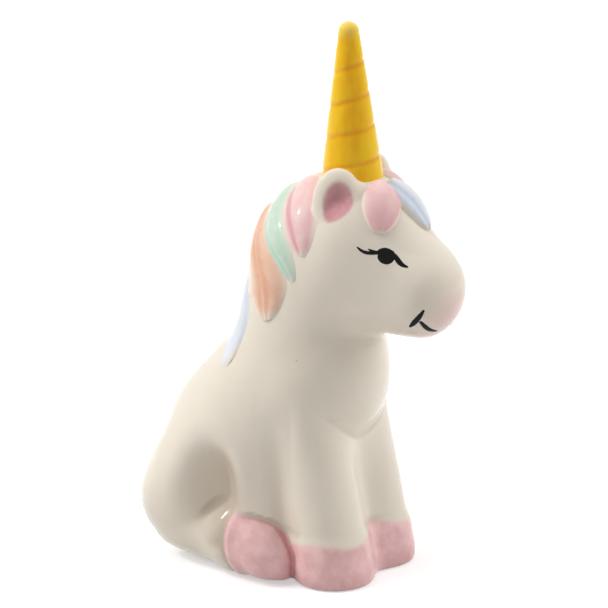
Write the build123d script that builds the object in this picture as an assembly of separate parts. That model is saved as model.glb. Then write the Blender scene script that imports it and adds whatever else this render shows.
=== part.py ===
from build123d import *
import math
import os

# A sitting unicorn ornament in glazed earthenware: a hollow cast body and head, with the legs,
# ears, horn and hair luted on as solid pieces before firing.
# Millimetres. Z is up, the figure faces -Y and its right side is -X.

# Trunk and neck: one form through level ellipses, parted at the neck seam
TRUNK_HEIGHT = 72.0
TRUNK_WIDTH = 37.0
TRUNK_DEPTH = 42.0
NECK_SEAM_HEIGHT = 46.0
CAST_WALL = 3.5
CAST_FLOOR = 4.0
DRAIN_HOLE_DIAMETER = 7.0
# Rows: height, half width, half depth and set-back of the centre
TRUNK_SECTION_SHARES = (
    (0.000, 0.368, 0.343, 0.219),
    (0.056, 0.457, 0.436, 0.269),
    (0.167, 0.495, 0.475, 0.294),
    (0.306, 0.500, 0.483, 0.288),
    (0.431, 0.481, 0.486, 0.238),
    (0.542, 0.438, 0.440, 0.138),
    (0.653, 0.384, 0.362, 0.050),
    (0.764, 0.341, 0.312, 0.021),
    (0.875, 0.314, 0.286, 0.007),
    (1.000, 0.265, 0.226, -0.036),
)
DRAIN_SET_BACK_SHARE = 0.238

# Chest: a round form on the front of the neck, over the tops of the forelegs
CHEST_WIDTH = 24.8
CHEST_DEPTH = 18.8
CHEST_HEIGHT = 22.0
CHEST_SET_BACK_SHARE = -0.107
CHEST_RISE_SHARE = 0.521
# Rows, as for every egg form: place along, half width, half height and lift of the centre
ROUND_SECTION_SHARES = (
    (0.04, 0.196, 0.196, 0.000),
    (0.20, 0.400, 0.400, 0.000),
    (0.50, 0.500, 0.500, 0.000),
    (0.80, 0.400, 0.400, 0.000),
    (0.96, 0.196, 0.196, 0.000),
)

# Head: an egg along an axis that dips to the nose, set from the crown of the neck
HEAD_LENGTH = 43.5
HEAD_WIDTH = 27.0
HEAD_HEIGHT = 32.5
HEAD_PITCH = 18.5
HEAD_SET_BACK_SHARE = 0.233
HEAD_RISE_SHARE = 0.981
HEAD_SECTION_SHARES = (
    (0.04, 0.156, 0.154, -0.009),
    (0.15, 0.307, 0.314, -0.009),
    (0.30, 0.444, 0.458, -0.006),
    (0.45, 0.500, 0.500, -0.010),
    (0.60, 0.440, 0.429, -0.003),
    (0.75, 0.370, 0.330, -0.017),
    (0.88, 0.325, 0.265, -0.025),
    (0.96, 0.220, 0.175, -0.034),
    (0.99, 0.112, 0.090, -0.034),
)

# Forelegs on their hooves
FORE_LEG_RADIUS = 7.1
FORE_LEG_RISE = 36.0
FORE_LEG_SPREAD = 8.0
FORE_LEG_LEAN = 11.0
FORE_HOOF_RADIUS = 7.9
FORE_HOOF_HEIGHT = 9.0
FORE_HOOF_LEAN = 5.0
FORE_HOOF_SET_BACK_SHARE = -0.202
# Rows: rise, half width and half depth
FORE_LEG_SECTION_SHARES = (
    (0.00, 1.000, 1.000),
    (0.25, 0.985, 0.985),
    (0.50, 0.960, 0.930),
    (0.78, 0.915, 0.860),
    (0.92, 0.690, 0.650),
)
# Rows: rise and radius
FORE_HOOF_SECTION_SHARES = (
    (0.00, 0.850),
    (0.11, 0.950),
    (0.33, 1.000),
    (0.67, 0.965),
    (1.00, 0.899),
)

# Haunches: eggs at the sides of the rump that lean forward, clear of the ground
HAUNCH_LENGTH = 34.0
HAUNCH_WIDTH = 20.0
HAUNCH_DEPTH = 21.0
HAUNCH_SPREAD = 10.5
HAUNCH_RISE = 5.0
HAUNCH_LEAN = 40.0
HAUNCH_SET_BACK_SHARE = 0.719
HAUNCH_SECTION_SHARES = (
    (0.04, 0.210, 0.219, 0.000),
    (0.20, 0.420, 0.429, 0.000),
    (0.50, 0.500, 0.500, 0.000),
    (0.80, 0.400, 0.400, 0.000),
    (0.96, 0.196, 0.196, 0.000),
)
# Flank hollow: a round scoop between each haunch and the belly
FLANK_HOLLOW_WIDTH = 22.0
FLANK_HOLLOW_HEIGHT = 26.0
FLANK_HOLLOW_SPREAD = 25.8
FLANK_HOLLOW_SET_BACK_SHARE = 0.310
FLANK_HOLLOW_RISE_SHARE = 0.243

# Hind feet and hooves: they meet at one upright plane and lie along the ground
HIND_FOOT_LENGTH = 21.5
HIND_FOOT_WIDTH = 13.2
HIND_FOOT_HEIGHT = 13.8
HIND_HOOF_LENGTH = 11.8
HIND_HOOF_WIDTH = 14.4
HIND_HOOF_HEIGHT = 15.0
HIND_FOOT_SPREAD = 13.0
HIND_FOOT_TOE_OUT = 9.0
HIND_FOOT_SET_BACK_SHARE = 0.190
HIND_FOOT_AXIS_SHARE = 0.536
HIND_HOOF_AXIS_SHARE = 0.46
HIND_FOOT_SECTION_SHARES = (
    (0.00, 0.500, 0.500, 0.000),
    (0.28, 0.500, 0.442, -0.022),
    (0.56, 0.470, 0.355, -0.072),
    (0.79, 0.379, 0.268, -0.138),
    (0.95, 0.227, 0.167, -0.174),
)
HIND_HOOF_SECTION_SHARES = (
    (0.00, 0.458, 0.455, 0.000),
    (0.20, 0.498, 0.498, 0.015),
    (0.48, 0.495, 0.480, 0.005),
    (0.78, 0.385, 0.375, -0.040),
    (0.95, 0.205, 0.200, -0.075),
)

# Ears: flat eggs with a scooped bowl, turned out from the face
EAR_HEIGHT = 13.6
EAR_WIDTH = 9.2
EAR_THICKNESS = 5.2
EAR_SPREAD = 7.7
EAR_RIM = 1.9
EAR_BOWL_DEPTH = 1.7
EAR_TURN = 53.0
EAR_LEAN = 3.5
EAR_ALONG_SHARE = 0.414
EAR_LIFT_SHARE = 0.127
EAR_SECTION_SHARES = (
    (0.05, 0.240, 0.240, 0.000),
    (0.30, 0.467, 0.467, 0.000),
    (0.60, 0.500, 0.500, 0.000),
    (0.85, 0.370, 0.370, 0.000),
    (0.97, 0.174, 0.174, 0.000),
)

# Horn: a domed taper with one spiral groove, its foot sunk below the crown
HORN_LENGTH = 36.0
HORN_BASE_RADIUS = 7.1
HORN_TIP_RADIUS = 2.2
HORN_LEAN = 2.0
HORN_GROOVE_PITCH = 6.5
HORN_GROOVE_RADIUS = 0.9
HORN_GROOVE_DEPTH = 0.4
HORN_ALONG_SHARE = 0.366
HORN_LIFT_SHARE = 0.273
HORN_GROOVE_START_SHARE = 0.10
HORN_GROOVE_SPAN_SHARE = 0.76

# Mane and forelock: locks laid on the skin, placed by rays from a point inside the head
MANE_THICKNESS = 3.0
MANE_PINK_WIDTH = 7.6
MANE_MINT_WIDTH = 5.0
MANE_PEACH_WIDTH = 10.8
MANE_LILAC_WIDTH = 7.0
FORELOCK_THICKNESS = 3.4
FORELOCK_RIGHT_WIDTH = 7.6
FORELOCK_MIDDLE_WIDTH = 6.4
FORELOCK_LEFT_WIDTH = 6.4
HAIR_ALONG_SHARE = 0.313
HAIR_LIFT_SHARE = -0.108
# How deep the creases between strands are, and how a lock's back is sunk in the skin
CREASE_SHARE = 0.45
BACK_SPREAD_SHARE = 0.70
BACK_SINK_SHARE = 0.70
# Rows, as for every lock: turn from the nape and tilt in degrees, then half width
MANE_PINK_SHARES = ((10, 80, 0.0), (66, 69, 0.40), (85, 54, 0.50), (96, 33, 0.48), (103, 13, 0.0))
MANE_MINT_SHARES = ((4, 66, 0.0), (24, 56, 0.40), (38, 38, 0.50), (57, 19, 0.50), (75, 4, 0.38),
                    (93, -9, 0.0))
MANE_PEACH_SHARES = ((4, 38, 0.0), (24, 17, 0.38), (50, -3, 0.50), (64, -19, 0.47), (70, -37, 0.0))
MANE_LILAC_SHARES = ((4, 2, 0.0), (12, -16, 0.42), (24, -28, 0.50), (36, -37, 0.42), (47, -45, 0.0))
FORELOCK_RIGHT_SHARES = ((171, 66, 0.0), (165, 50, 0.46), (161, 39, 0.50), (155, 24, 0.0))
FORELOCK_MIDDLE_SHARES = ((181, 64, 0.0), (189, 48, 0.46), (194, 36, 0.50), (188, 17, 0.0))
FORELOCK_LEFT_SHARES = ((194, 68, 0.0), (212, 52, 0.46), (220, 38, 0.48), (214, 22, 0.0))

# Tail: two locks that leave the rump and curl round the left haunch
TAIL_THICKNESS = 4.4
TAIL_UPPER_WIDTH = 7.6
TAIL_LOWER_WIDTH = 7.6
TAIL_CENTRE_SET_BACK_SHARE = 0.262
TAIL_CENTRE_RISE_SHARE = 0.194
TAIL_UPPER_SHARES = ((2, 36, 0.0), (-5, 18, 0.46), (-22, 4, 0.50), (-44, -4, 0.42), (-66, -2, 0.0))
TAIL_LOWER_SHARES = ((8, 22, 0.0), (0, 0, 0.46), (-16, -17, 0.50), (-38, -24, 0.40), (-60, -16, 0.0))

# One overrun for every cut that runs past a face
CUT_OVERRUN = 2.0
# How far the handles of a quarter ellipse reach, and the points that set out each strand of a lock
QUARTER_PULL_SHARE = 0.5523
LOBE_POINTS = 4


def ring(half_width, half_height):
    """An ellipse as a face, drawn in four smooth quarters."""
    pull_x = QUARTER_PULL_SHARE * half_width
    pull_y = QUARTER_PULL_SHARE * half_height
    quarters = []
    for x, y, outward in ((1, 1, False), (-1, 1, True), (-1, -1, False), (1, -1, True)):
        side = [(x * half_width, 0), (x * half_width, y * pull_y)]
        crown = [(x * pull_x, y * half_height), (0, y * half_height)]
        points = side + crown
        quarters.append(Bezier(*(points[::-1] if outward else points)))
    return make_face(quarters)


def egg_form(frame, rows, length, width, height, start_closed=True, end_closed=True):
    """A smooth skin through ellipses along the frame's Z axis, drawn to a point at a closed end."""
    rings = []
    for along, half_width, half_height, lift in rows:
        place = frame * Pos(0, lift * height, along * length)
        rings.append(place * ring(half_width * width, half_height * height))
    if start_closed:
        rings.insert(0, frame * Pos(0, rows[0][3] * height, 0) * Vertex(0, 0, 0))
    if end_closed:
        rings.append(frame * Pos(0, rows[-1][3] * height, length) * Vertex(0, 0, 0))
    return loft(rings)


def trunk_ring(row, height, inset):
    """A level ellipse of the trunk at a height, drawn in by an inset."""
    half_width = row[1] * TRUNK_WIDTH - inset
    half_depth = row[2] * TRUNK_DEPTH - inset
    return Pos(0, row[3] * TRUNK_DEPTH, height) * ring(half_width, half_depth)


def trunk_form():
    """The filled trunk and neck."""
    return loft([trunk_ring(row, row[0] * TRUNK_HEIGHT, 0) for row in TRUNK_SECTION_SHARES])


def trunk_cavity():
    """The hollow of the trunk and neck, a wall inside the form and a floor above the base."""
    rings = [trunk_ring(TRUNK_SECTION_SHARES[1], CAST_FLOOR, CAST_WALL)]
    for row in TRUNK_SECTION_SHARES[2:]:
        rings.append(trunk_ring(row, row[0] * TRUNK_HEIGHT, CAST_WALL))
    return loft(rings)


def chest_form():
    """The chest, round on every side."""
    middle = CHEST_RISE_SHARE * TRUNK_HEIGHT
    frame = Plane((0, CHEST_SET_BACK_SHARE * TRUNK_DEPTH, middle - CHEST_HEIGHT / 2))
    return egg_form(frame, ROUND_SECTION_SHARES, CHEST_HEIGHT, CHEST_WIDTH, CHEST_DEPTH)


def flank_hollow(margin):
    """The scoop in the right flank, grown by a margin on every side."""
    height = FLANK_HOLLOW_HEIGHT + 2 * margin
    width = FLANK_HOLLOW_WIDTH + 2 * margin
    middle = FLANK_HOLLOW_RISE_SHARE * TRUNK_HEIGHT
    set_back = FLANK_HOLLOW_SET_BACK_SHARE * TRUNK_DEPTH
    frame = Plane((-FLANK_HOLLOW_SPREAD, set_back, middle - height / 2))
    return egg_form(frame, ROUND_SECTION_SHARES, height, width, width)


def head_frame():
    """The head's frame: X to the left, Y up from the axis, Z along the axis to the nose."""
    origin = (0, HEAD_SET_BACK_SHARE * TRUNK_DEPTH, HEAD_RISE_SHARE * TRUNK_HEIGHT)
    nose = Vector(0, -1, 0).rotate(Axis.X, HEAD_PITCH)
    return Plane(origin, x_dir=(1, 0, 0), z_dir=nose)


def on_head(along, lift):
    """A point of the head's middle plane, by its shares along the axis and up from it."""
    frame = head_frame()
    return frame.origin + frame.z_dir * (along * HEAD_LENGTH) + frame.y_dir * (lift * HEAD_HEIGHT)


def head_egg():
    """The filled head."""
    return egg_form(head_frame(), HEAD_SECTION_SHARES, HEAD_LENGTH, HEAD_WIDTH, HEAD_HEIGHT)


def fore_hoof_form():
    """The right fore hoof: a flared cup that leans back as it rises."""
    y = FORE_HOOF_SET_BACK_SHARE * TRUNK_DEPTH
    lean = math.tan(math.radians(FORE_HOOF_LEAN))
    rings = []
    for rise, radius in FORE_HOOF_SECTION_SHARES:
        z = rise * FORE_HOOF_HEIGHT
        reach = radius * FORE_HOOF_RADIUS
        rings.append(Pos(-FORE_LEG_SPREAD, y + lean * z, z) * ring(reach, reach))
    return loft(rings)


def fore_leg_form():
    """The right foreleg, from the top of its hoof into the shoulder."""
    hoof_lean = math.tan(math.radians(FORE_HOOF_LEAN))
    leg_lean = math.tan(math.radians(FORE_LEG_LEAN))
    y = FORE_HOOF_SET_BACK_SHARE * TRUNK_DEPTH + hoof_lean * FORE_HOOF_HEIGHT
    rings = []
    for rise, half_width, half_depth in FORE_LEG_SECTION_SHARES:
        up = rise * FORE_LEG_RISE
        place = Pos(-FORE_LEG_SPREAD, y + leg_lean * up, FORE_HOOF_HEIGHT + up)
        rings.append(place * ring(half_width * FORE_LEG_RADIUS, half_depth * FORE_LEG_RADIUS))
    top = Pos(-FORE_LEG_SPREAD, y + leg_lean * FORE_LEG_RISE, FORE_HOOF_HEIGHT + FORE_LEG_RISE)
    rings.append(top * Vertex(0, 0, 0))
    return loft(rings)


def haunch_form():
    """The right haunch: an egg from the back of the seat to the flank."""
    origin = (-HAUNCH_SPREAD, HAUNCH_SET_BACK_SHARE * TRUNK_DEPTH, HAUNCH_RISE)
    up = Vector(0, 0, 1).rotate(Axis.X, HAUNCH_LEAN)
    frame = Plane(origin, x_dir=(1, 0, 0), z_dir=up)
    return egg_form(frame, HAUNCH_SECTION_SHARES, HAUNCH_LENGTH, HAUNCH_WIDTH, HAUNCH_DEPTH)


def hind_frame(axis_height, forward):
    """The plane where the right hind foot meets its hoof, Z along the foot or along the hoof."""
    origin = (-HIND_FOOT_SPREAD, HIND_FOOT_SET_BACK_SHARE * TRUNK_DEPTH, axis_height)
    toe = Vector(0, -1, 0).rotate(Axis.Z, -HIND_FOOT_TOE_OUT)
    along = toe if forward else toe * -1
    side = Vector(0, 0, 1).cross(toe) if forward else toe.cross(Vector(0, 0, 1))
    return Plane(origin, x_dir=side, z_dir=along)


def hind_foot_form():
    frame = hind_frame(HIND_FOOT_AXIS_SHARE * HIND_FOOT_HEIGHT, False)
    return egg_form(frame, HIND_FOOT_SECTION_SHARES, HIND_FOOT_LENGTH, HIND_FOOT_WIDTH,
                    HIND_FOOT_HEIGHT, start_closed=False)


def hind_hoof_form():
    frame = hind_frame(HIND_HOOF_AXIS_SHARE * HIND_HOOF_HEIGHT, True)
    return egg_form(frame, HIND_HOOF_SECTION_SHARES, HIND_HOOF_LENGTH, HIND_HOOF_WIDTH,
                    HIND_HOOF_HEIGHT, start_closed=False)


def ear_form():
    """The right ear: a flat egg with a bowl scooped from the side it faces."""
    origin = on_head(EAR_ALONG_SHARE, EAR_LIFT_SHARE) - Vector(EAR_SPREAD, 0, 0)
    face = Vector(0, -1, 0).rotate(Axis.Z, -EAR_TURN)
    up = Vector(0, 0, 1).rotate(Axis.X, EAR_LEAN)
    frame = Plane(origin, x_dir=up.cross(face), z_dir=up)
    shell = egg_form(frame, EAR_SECTION_SHARES, EAR_HEIGHT, EAR_WIDTH, EAR_THICKNESS)
    mouth = Plane(origin + frame.z_dir * EAR_RIM - frame.y_dir * (EAR_THICKNESS / 2),
                  x_dir=frame.x_dir, z_dir=frame.z_dir)
    bowl = egg_form(mouth, EAR_SECTION_SHARES, EAR_HEIGHT - 2 * EAR_RIM, EAR_WIDTH - 2 * EAR_RIM,
                    2 * EAR_BOWL_DEPTH)
    return shell - bowl


def horn_taper():
    """The horn before its groove: a taper that runs into a round tip, standing on the origin."""
    slope = math.atan2(HORN_BASE_RADIUS - HORN_TIP_RADIUS, HORN_LENGTH - HORN_TIP_RADIUS)
    middle = HORN_LENGTH - HORN_TIP_RADIUS
    start = math.degrees(slope)
    cap = CenterArc((0, middle), HORN_TIP_RADIUS, start, 90 - start)
    outline = Line((0, HORN_LENGTH), (0, 0)) + Line((0, 0), (HORN_BASE_RADIUS, 0))
    outline = outline + Line((HORN_BASE_RADIUS, 0), cap @ 0) + cap
    return revolve(Plane.XZ * make_face(outline), axis=Axis.Z)


def horn_groove():
    """The spiral cut round the standing taper."""
    fall = (HORN_BASE_RADIUS - HORN_TIP_RADIUS) / (HORN_LENGTH - HORN_TIP_RADIUS)
    start = HORN_GROOVE_START_SHARE * HORN_LENGTH
    reach = HORN_BASE_RADIUS - fall * start + HORN_GROOVE_RADIUS - HORN_GROOVE_DEPTH
    helix = Helix(HORN_GROOVE_PITCH, HORN_GROOVE_SPAN_SHARE * HORN_LENGTH, reach,
                  center=(0, 0, start), cone_angle=-math.degrees(math.atan(fall)))
    section = Plane(helix @ 0, z_dir=helix % 0) * Circle(HORN_GROOVE_RADIUS)
    return sweep(section, path=helix, is_frenet=True)


def on_crown(piece):
    """A piece set on the crown as the horn stands, leaning back a little."""
    return Pos(on_head(HORN_ALONG_SHARE, HORN_LIFT_SHARE)) * Rot(-HORN_LEAN, 0, 0) * piece


def skin_point(carriers, centre, turn, tilt):
    """Where a ray from the centre leaves the carriers, and the way out from there."""
    out = Vector(0, 1, 0).rotate(Axis.X, tilt).rotate(Axis.Z, turn)
    ray = Axis(centre, out)
    hits = []
    for carrier in carriers:
        hits += [point for point, _ in carrier.find_intersection_points(ray)]
    return max(hits, key=lambda point: (point - centre).dot(out)), out


def lock_ring(half_width, half_thickness, bend, lobes):
    """Across a lock: its back bent round the skin, its face swelling into strands."""
    points = [(0, -1), (BACK_SPREAD_SHARE, -BACK_SINK_SHARE)]
    count = LOBE_POINTS * lobes
    for step in range(count + 1):
        across = 1 - 2 * step / count
        swell = math.sqrt(1 - across * across)
        crease = CREASE_SHARE * (1 + math.cos(math.tau * lobes * step / count)) / 2
        points.append((across, swell * (1 - crease)))
    points.append((-BACK_SPREAD_SHARE, -BACK_SINK_SHARE))
    outline = []
    for across, rise in points:
        angle = across * half_width / bend
        reach = bend + rise * half_thickness
        outline.append(Vector(reach * math.sin(angle), reach * math.cos(angle) - bend))
    evenly = [step / len(outline) for step in range(len(outline) + 1)]
    return make_face(Edge.make_spline(outline, periodic=True, parameters=evenly))


def lock(carriers, centre, rows, lobes, width, thickness):
    """A lock of hair: rings centred on the skin along a route, its ends drawn to points under it."""
    spots = [skin_point(carriers, centre, turn, tilt) for turn, tilt, _ in rows]
    points = [point for point, _ in spots]
    route = Spline(*points)
    start, end = [point - out * (thickness / 2) for point, out in (spots[0], spots[-1])]
    rings = [Vertex(*start)]
    for (point, out), (_, _, half_width) in list(zip(spots, rows))[1:-1]:
        along = route % route.param_at_point(point)
        plane = Plane(point, x_dir=along.cross(out), z_dir=along)
        bend = (point - centre).length
        rings.append(plane * lock_ring(half_width * width, thickness / 2, bend, lobes))
    rings.append(Vertex(*end))
    return loft(rings)


def seated(piece, *carriers):
    """What is left of a piece once the pieces that carry it are cut away, one after another."""
    for carrier in carriers:
        piece = max((piece - carrier).solids(), key=lambda solid: solid.volume)
    return piece


def right_half(piece):
    return split(piece, bisect_by=Plane.YZ, keep=Keep.BOTTOM)


def left(piece):
    return mirror(piece, about=Plane.YZ)


def build():
    """Every piece by name, in the order in which one is seated on another."""
    scoop = flank_hollow(0)
    form = trunk_form() + chest_form() + head_egg()
    form = seated(form, scoop, left(scoop))
    seam = Plane.XY.offset(NECK_SEAM_HEIGHT)
    lower = split(form, bisect_by=seam, keep=Keep.BOTTOM)
    upper = split(form, bisect_by=seam, keep=Keep.TOP)
    wall = flank_hollow(CAST_WALL)
    hollow = seated(trunk_cavity(), wall, left(wall))
    drain_height = CAST_FLOOR + CUT_OVERRUN
    drain = Pos(0, DRAIN_SET_BACK_SHARE * TRUNK_DEPTH, drain_height / 2) * Cylinder(
        DRAIN_HOLE_DIAMETER / 2, drain_height + CUT_OVERRUN)
    ground = Pos(0, 0, -TRUNK_HEIGHT / 2) * Box(4 * TRUNK_WIDTH, 4 * TRUNK_DEPTH, TRUNK_HEIGHT)

    pieces = {}
    pieces["body"] = seated(lower, hollow, drain)
    pieces["head"] = seated(upper, hollow)
    taper = seated(on_crown(horn_taper()), upper)
    pieces["horn"] = seated(taper, on_crown(horn_groove()))
    ear = seated(ear_form(), upper, taper)
    fore_hoof = seated(fore_hoof_form(), lower)
    fore_leg = seated(fore_leg_form(), lower)
    hind_foot = seated(hind_foot_form(), lower, ground)
    haunch = seated(haunch_form(), lower, hind_foot, ground, scoop)
    hind_hoof = seated(hind_hoof_form(), lower, fore_hoof, fore_leg, ground)

    centre = on_head(HAIR_ALONG_SHARE, HAIR_LIFT_SHARE)
    mane = {}
    laid = [form, taper, ear]
    for name, rows, lobes, width in (
            ("mane_pink", MANE_PINK_SHARES, 2, MANE_PINK_WIDTH),
            ("mane_mint", MANE_MINT_SHARES, 1, MANE_MINT_WIDTH),
            ("mane_peach", MANE_PEACH_SHARES, 2, MANE_PEACH_WIDTH),
            ("mane_lilac", MANE_LILAC_SHARES, 1, MANE_LILAC_WIDTH)):
        shape = lock([form], centre, rows, lobes, width, MANE_THICKNESS)
        mane[name] = seated(right_half(shape), *laid)
        laid.append(mane[name])

    paired = {"ear": ear, "foreleg": fore_leg, "fore_hoof": fore_hoof, "haunch": haunch,
              "hind_foot": hind_foot, "hind_hoof": hind_hoof, **mane}
    for name, piece in paired.items():
        pieces[name + "_right"] = piece
        pieces[name + "_left"] = left(piece)

    laid = [form, taper, ear, left(ear)]
    for name, rows, lobes, width in (
            ("forelock_right", FORELOCK_RIGHT_SHARES, 1, FORELOCK_RIGHT_WIDTH),
            ("forelock_middle", FORELOCK_MIDDLE_SHARES, 1, FORELOCK_MIDDLE_WIDTH),
            ("forelock_left", FORELOCK_LEFT_SHARES, 1, FORELOCK_LEFT_WIDTH)):
        shape = lock([form], centre, rows, lobes, width, FORELOCK_THICKNESS)
        pieces[name] = seated(shape, *laid)
        laid.append(pieces[name])

    centre = Vector(0, TAIL_CENTRE_SET_BACK_SHARE * TRUNK_DEPTH,
                    TAIL_CENTRE_RISE_SHARE * TRUNK_HEIGHT)
    thigh = left(haunch_form())
    laid = [form, pieces["haunch_left"], pieces["hind_foot_left"], haunch, ground]
    for name, rows, lobes, width in (("tail_upper", TAIL_UPPER_SHARES, 2, TAIL_UPPER_WIDTH),
                                     ("tail_lower", TAIL_LOWER_SHARES, 2, TAIL_LOWER_WIDTH)):
        shape = lock([form, thigh], centre, rows, lobes, width, TAIL_THICKNESS)
        pieces[name] = seated(shape, *laid)
        laid.append(pieces[name])
    return pieces


def main():
    os.makedirs("parts", exist_ok=True)
    pieces = build()
    box = Compound(list(pieces.values())).bounding_box()
    middle = Pos(-box.center().X, -box.center().Y, 0)
    for name, piece in pieces.items():
        export_step(middle * piece, "parts/" + name + ".step")


if __name__ == "__main__":
    main()
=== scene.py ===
import math

import bpy
import numpy as np
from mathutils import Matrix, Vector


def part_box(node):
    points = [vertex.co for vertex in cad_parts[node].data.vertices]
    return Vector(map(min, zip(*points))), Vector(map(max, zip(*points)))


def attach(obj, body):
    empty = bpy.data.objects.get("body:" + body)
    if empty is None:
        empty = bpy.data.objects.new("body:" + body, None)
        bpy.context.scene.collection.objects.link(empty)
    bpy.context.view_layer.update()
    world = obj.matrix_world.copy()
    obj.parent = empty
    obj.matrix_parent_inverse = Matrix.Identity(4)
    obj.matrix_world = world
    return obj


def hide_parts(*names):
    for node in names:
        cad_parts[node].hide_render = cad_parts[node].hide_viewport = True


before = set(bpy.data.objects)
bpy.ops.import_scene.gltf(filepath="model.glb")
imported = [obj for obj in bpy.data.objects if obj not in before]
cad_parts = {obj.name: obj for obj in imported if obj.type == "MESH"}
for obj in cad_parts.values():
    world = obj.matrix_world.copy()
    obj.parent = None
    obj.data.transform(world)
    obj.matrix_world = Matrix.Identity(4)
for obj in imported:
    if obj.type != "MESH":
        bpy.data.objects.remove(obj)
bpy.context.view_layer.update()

import openvdb
from mathutils import Matrix, Vector

# A sitting unicorn ornament under one continuous gloss glaze. Shapes are worked out in millimetres in
# the figure's own frame: X = 0 is its middle, it faces -Y and Z = 0 is the ground it sits on.
MM = 0.001
body_low, body_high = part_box("body")
TRUNK_BACK = 32.5
ORIGIN = np.array(((body_low.x + body_high.x) / 2, body_high.y - TRUNK_BACK * MM, 0.0))

# Trunk: height, half width, half depth and set-back of each level ellipse, closed inside the head
TRUNK_ROWS = ((0.0, 13.6, 14.4, 9.2), (4.0, 16.9, 18.3, 11.3), (12.0, 18.3, 19.95, 12.35),
              (22.0, 18.5, 20.3, 12.1), (31.0, 17.8, 20.4, 10.0), (39.0, 16.2, 18.5, 5.8),
              (47.0, 14.2, 15.2, 2.1), (55.0, 12.6, 13.1, 0.9), (63.0, 11.6, 12.0, 0.3),
              (69.0, 10.0, 9.9, -0.8), (75.0, 0.0, 0.0, -1.6))
TRUNK_HEAD_BLEND = 5.0
CHEST_CENTRE = (0.0, -4.5, 37.5)
CHEST_RADII = (12.4, 9.4, 11.0)
CHEST_BLEND = (1.2, 5.0)
CHEST_BLEND_HEIGHTS = (33.0, 46.0)
DRAIN_CENTRE_Y = 10.0
DRAIN_RADIUS = 3.5
DRAIN_CHAMBER_RADII = (11.0, 11.0, 9.0)
DRAIN_CHAMBER_RISE = 12.0
DRAIN_BLEND = 0.5
FOOT_RIM_ROUND = 0.9

# Head: place along the axis from the nape, half width, half height and lift
HEAD_NAPE = (0.0, 9.79, 70.63)
HEAD_PITCH = 18.5
HEAD_ROWS = ((0.0, 0.0, 0.0, 0.0), (1.74, 4.2, 5.0, -0.3), (6.53, 8.3, 10.2, -0.3),
             (13.05, 12.0, 14.9, -0.2), (19.58, 13.5, 16.25, -0.33), (26.1, 11.88, 13.95, -0.1),
             (32.63, 9.99, 10.73, -0.55), (38.28, 8.78, 8.6, -0.8), (41.76, 5.94, 5.7, -1.1),
             (43.5, 0.0, 0.0, -1.1))

# Forelegs and fore hooves of the right side: height, radius across and radius along, set-back
FORE_LEG_X = -8.6
FORE_LEG_ROWS = ((-4.0, 7.1, 7.1, -10.2), (9.0, 7.1, 7.1, -7.7), (18.0, 7.0, 7.0, -5.95),
                 (27.0, 6.82, 6.6, -4.2), (37.1, 6.5, 6.1, -2.24), (42.1, 4.9, 4.6, -1.27),
                 (45.0, 0.0, 0.0, -0.7))
FORE_HOOF_ROWS = ((-3.0, 6.6, 6.6, -8.75), (0.0, 6.9, 6.9, -8.48), (1.0, 7.5, 7.5, -8.4),
                  (3.0, 7.9, 7.9, -8.22), (6.0, 7.62, 7.62, -7.96), (9.0, 6.9, 6.9, -7.7),
                  (11.5, 0.0, 0.0, -7.5))
LEG_BLEND = 4.0
HOOF_BLEND = 1.6
MIDDLE_FOLD = 2.0
LEG_FOLD = 3.4

# Haunch, hind foot and hind hoof of the right side
HAUNCH_FOOT = (-10.5, 30.2, 5.0)
HAUNCH_LEAN = 40.0
HAUNCH_ROWS = ((0.0, 0.0, 0.0, 0.0), (1.36, 4.2, 4.6, 0.0), (6.8, 8.4, 9.0, 0.0), (17.0, 10.0, 10.5, 0.0),
               (27.2, 8.0, 8.4, 0.0), (32.64, 3.92, 4.12, 0.0), (34.0, 0.0, 0.0, 0.0))
HAUNCH_BLEND = 5.0
HOLLOW_CENTRE = (-20.2, 12.0, 16.5)
HOLLOW_RADII = (5.2, 4.8, 9.0)
HOLLOW_TURN = 25.0
HOLLOW_EDGE_BLEND = 2.6
HOLLOW_BACK_BLEND = 6.5
HOLLOW_EDGE = (8.5, 14.0)
HOLLOW_EDGE_SLANT = 0.5
HOLLOW_EASE = (-2.0, 15.0)
VALLEY_CENTRE = (-17.0, -3.6, 23.0)
VALLEY_RADII = (3.8, 2.6, 14.0)
VALLEY_BLEND = 4.0
HIND_MEET = (-13.0, 7.98)
HIND_TOE_OUT = 9.0
HIND_FOOT_AXIS = 7.4
HIND_HOOF_AXIS = 6.9
HIND_FOOT_ROWS = ((-3.0, 0.0, 0.0, 0.0), (0.0, 6.6, 6.9, 0.0), (6.0, 6.6, 6.1, -0.3),
                  (12.0, 6.2, 4.9, -1.0), (17.0, 5.0, 3.7, -1.9), (20.5, 3.0, 2.3, -2.4),
                  (21.5, 0.0, 0.0, -2.4))
HIND_HOOF_ROWS = ((-1.6, 0.0, 0.0, 0.0), (0.0, 6.7, 7.4, 0.5), (2.36, 7.1, 7.5, 0.5),
                  (5.66, 6.8, 6.5, -0.5), (9.2, 5.3, 4.7, -1.8), (11.21, 2.9, 2.5, -2.8),
                  (11.8, 0.0, 0.0, -2.9))
HIND_FOOT_BLEND = 2.0
HIND_HOOF_BLEND = 0.7

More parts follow.
